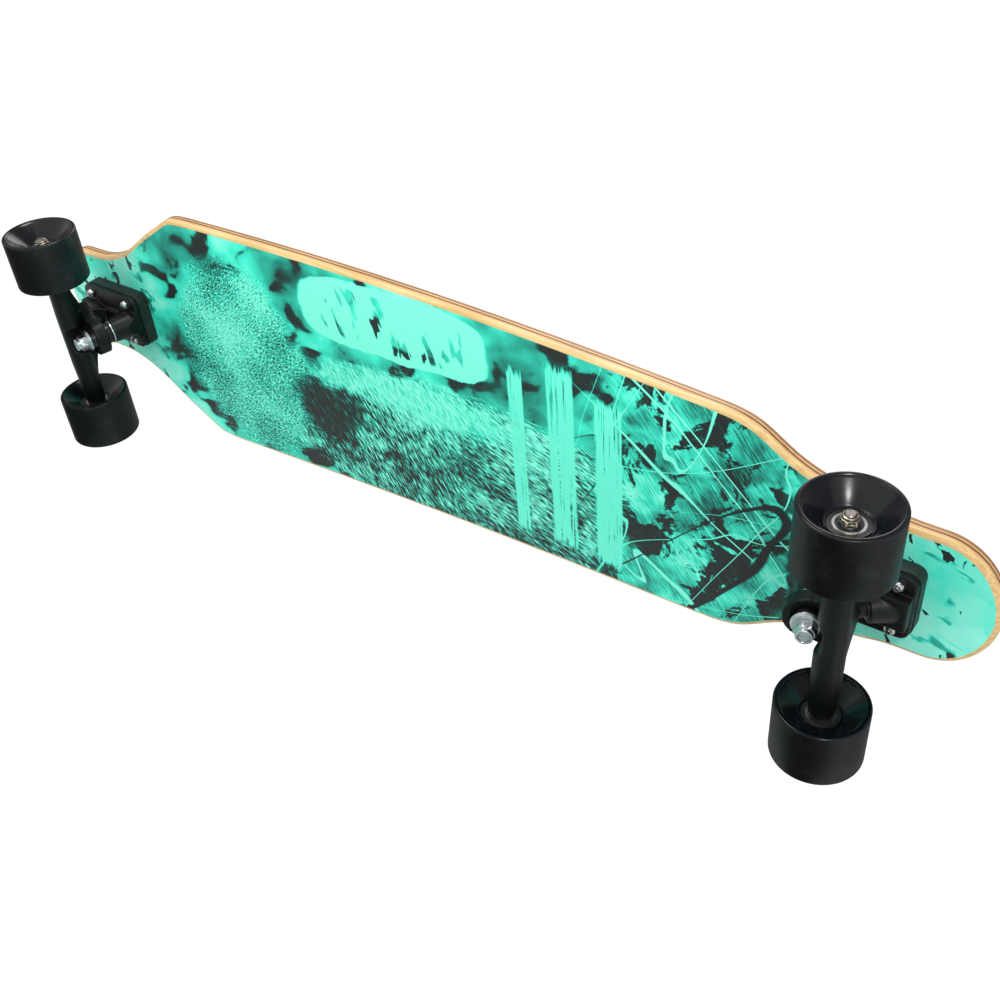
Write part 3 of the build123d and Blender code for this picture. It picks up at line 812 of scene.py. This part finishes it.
def makeBushings(end):
    # a barrel on the board side and a cone on the road side, baked in place
    radius, cone, hole, boardLow, webLow, webHigh, roadHigh = bushing.values()
    place = kingpinPlace(end)
    barrel = softened([
        (hole, boardLow, 0.0), (radius - 0.5, boardLow, 0.9), (radius, boardLow + 1.4, 0.8),
        (radius + 0.25, (boardLow + webLow) / 2, 3.0), (radius, webLow - 1.2, 0.8),
        (radius - 0.5, webLow, 0.9), (hole, webLow, 0.0)])
    taper = softened([
        (hole, webHigh, 0.0), (radius - 0.4, webHigh, 0.7), (radius, webHigh + 2.0, 1.2),
        (cone + 0.35, roadHigh - 1.6, 1.0), (cone - 0.3, roadHigh, 0.9), (hole, roadHigh, 0.0)])
    for label, loop, deckSide, webSide in (("board", barrel, boardLow, webLow),
                                           ("road", taper, roadHigh, webHigh)):
        node = f"{end}_{label}_bushing"
        mesh = placedMesh(node, [(*turnedRings(loop, 96), place)])
        piece = finishPiece(node + "_moulded", mesh, bushingUrethane, None, (node,))
        tuple(kingpinPlace(end, deckSide).translation)
        tuple(kingpinPlace(end, webSide).translation)
        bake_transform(piece)


washer = {  # radius, height along the kingpin and rounding of each corner
    "road": ((4.75, 18.0, 0.0), (9.4, 18.0, 0.5), (10.6, 17.0, 0.4), (11.5, 16.9, 0.3), (11.6, 17.6, 0.3),
             (10.9, 18.3, 0.4), (9.9, 19.5, 0.7), (4.75, 19.5, 0.2)),
    "board": ((4.75, -7.5, 0.2), (11.6, -7.5, 0.4), (11.6, -6.0, 0.4), (4.75, -6.0, 0.2)),
}


def makeWashers(end):
    # the road washer is a pressed cup with a rolled rim, the board one is flat
    for label, corners in washer.items():
        node = f"{end}_{label}_washer"
        mesh = placedMesh(node, [(*turnedRings(softened(corners), 96), kingpinPlace(end))])
        finishPiece(node + "_pressed", mesh, brightZinc, "deck", (node,))


finishDeck()
makeMountingHardware()
print("deck done")
for end in ends:
    castPiece(end + "_hanger", end + "_hanger", 4)
    castPiece(end + "_baseplate", "deck", 2)
    makeBushings(end)
    makeWashers(end)
    makeNuts(end)
    for side in sides:
        makeTyre(end, side)
        makeSeals(end, side)
        paintNode(f"{end}_{side}_wheel_core", corePlastic)
        paintNode(f"{end}_{side}_outer_rings", bearingSteel)
        paintNode(f"{end}_{side}_bearing_balls", bearingSteel)
    paintNode(end + "_riser_pad", padRubber)
    paintNode(end + "_pivot_cup", cupNylon)
    paintNode(end + "_kingpin", brightZinc)
    paintNode(end + "_axle", axleSteel)
    paintNode(end + "_speed_washers", bearingSteel)
    paintNode(end + "_inner_rings", bearingSteel)
    paintNode(end + "_bearing_spacers", bearingSteel)
    print(end, "truck done")
paintNode("mounting_bolts", darkSteel)


stage = {
    "floor": (0.86, 0.86, 0.85), "floorGlow": 0.10, "reach": 40.0, "sky": (0.96, 0.98, 1.0),
    "skyStrength": 0.72, "backdrop": 1.1, "mirrored": 0.36,
}
view = {
    "place": (0.5848, -0.5818, -0.5232), "azimuth": 38.2, "elevation": -37.3, "roll": 47.0, "lens": 41.54,
}
lamps = {  # place and aim go across, up and back from the camera's side; the top one's follow the world
    "keyLight": {"place": (-0.2, 1.5, 0.6), "aim": (0, 0, 0), "power": 8.0, "size": 0.45},
    "hubLight": {"place": (-0.0675, 0.378, 1.296), "aim": (0, 0, 0), "power": 6.5, "size": 0.13},
    "fillLight": {"place": (-1.2, 0.2, 1.2), "aim": (-0.2, 0, 0), "power": 5.0, "size": 0.7},
    "topLight": {"place": (-1.1, -1.6, 4.0), "aim": (0, 0, 0), "power": 70.0, "size": 2.6},
}


def cameraAxes():
    a, e, roll = (math.radians(view[k]) for k in ("azimuth", "elevation", "roll"))
    back = Vector((math.sin(a) * math.cos(e), -math.cos(a) * math.cos(e), math.sin(e)))
    right = Vector((0, 0, 1)).cross(back).normalized()
    up = back.cross(right)
    across = math.cos(roll) * right + math.sin(roll) * up
    return across, -math.sin(roll) * right + math.cos(roll) * up, back


def makeFloor():
    # seen only from above: from below it is clear, so that the camera under it sees the board
    finish = Finish("paleFloor", Roughness=0.7, Emission_Strength=stage["floorGlow"])
    mottle = finish.noise(3.0, 4.0)
    duller = tuple(c * 0.97 for c in stage["floor"])
    finish.feed("Base Color", finish.mix(mottle, duller, stage["floor"]))
    clear = finish.node("ShaderNodeBsdfTransparent")
    behind = finish.node("ShaderNodeNewGeometry", out="Backfacing")
    solid = Wire(finish, finish.shader.outputs[0])
    both = finish.node("ShaderNodeMixShader", inputs={0: behind, 1: solid, 2: clear})
    output = finish.tree.nodes["Material Output"]
    finish.tree.links.new(both.socket, output.inputs["Surface"])
    r = stage["reach"]
    mesh = bpy.data.meshes.new("floor")
    mesh.from_pydata([(-r, -r, 0), (r, -r, 0), (r, r, 0), (-r, r, 0)], [], [(0, 1, 2, 3)])
    mesh.materials.append(finish.material)
    floor = bpy.data.objects.new("floor", mesh)
    floor.visible_shadow = False
    scene.collection.objects.link(floor)


def makeLight(name, base, axes):
    setting = lamps[name]
    place, aim = (sum((axis * step for axis, step in zip(axes, setting[key])), base.copy())
                  for key in ("place", "aim"))
    light = bpy.data.lights.new(name, "AREA")
    light.energy = setting["power"]
    light.shape = "DISK"
    light.size = setting["size"]
    lamp = bpy.data.objects.new(name, light)
    lamp.location = place
    lamp.rotation_euler = (aim - place).to_track_quat("-Z", "Y").to_euler()
    scene.collection.objects.link(lamp)


def makeStage():
    makeFloor()
    sky = bpy.data.worlds.new("sky")
    sky.use_nodes = True
    ground = sky.node_tree.nodes["Background"]
    ground.inputs["Color"].default_value = (*stage["sky"], 1)
    seen = sky.node_tree.nodes.new("ShaderNodeLightPath")
    level = sky.node_tree.nodes.new("ShaderNodeMapRange")  # a white backdrop, and a softer light from it
    level.inputs["To Min"].default_value = stage["skyStrength"]
    level.inputs["To Max"].default_value = stage["backdrop"]
    sky.node_tree.links.new(seen.outputs["Is Camera Ray"], level.inputs["Value"])
    dimmed = sky.node_tree.nodes.new("ShaderNodeMath")  # dimmer still where a gloss mirrors it
    dimmed.operation = "MULTIPLY_ADD"
    dimmed.inputs[1].default_value = stage["mirrored"] - stage["skyStrength"]
    sky.node_tree.links.new(seen.outputs["Is Glossy Ray"], dimmed.inputs[0])
    sky.node_tree.links.new(level.outputs[0], dimmed.inputs[2])
    sky.node_tree.links.new(dimmed.outputs[0], ground.inputs["Strength"])
    scene.world = sky
    across, up, back = cameraAxes()
    middle = (cadBox[0] + cadBox[1]) / 2
    hub = wheelPlace("rear", "left").translation
    makeLight("keyLight", middle, (across, up, back))
    makeLight("hubLight", hub, (across, up, back))
    makeLight("fillLight", middle, (across, up, back))
    makeLight("topLight", middle, Matrix.Identity(3))
    lens = bpy.data.cameras.new("camera")
    lens.lens = view["lens"]
    lens.sensor_width = 36.0
    lens.clip_start = 0.01
    eye = bpy.data.objects.new("camera", lens)
    turn = Matrix((across, up, back)).transposed().to_4x4()
    eye.matrix_world = Matrix.Translation(view["place"]) @ turn
    scene.collection.objects.link(eye)
    scene.camera = eye
    scene.view_settings.view_transform = "Standard"


makeStage()
print("stage done")
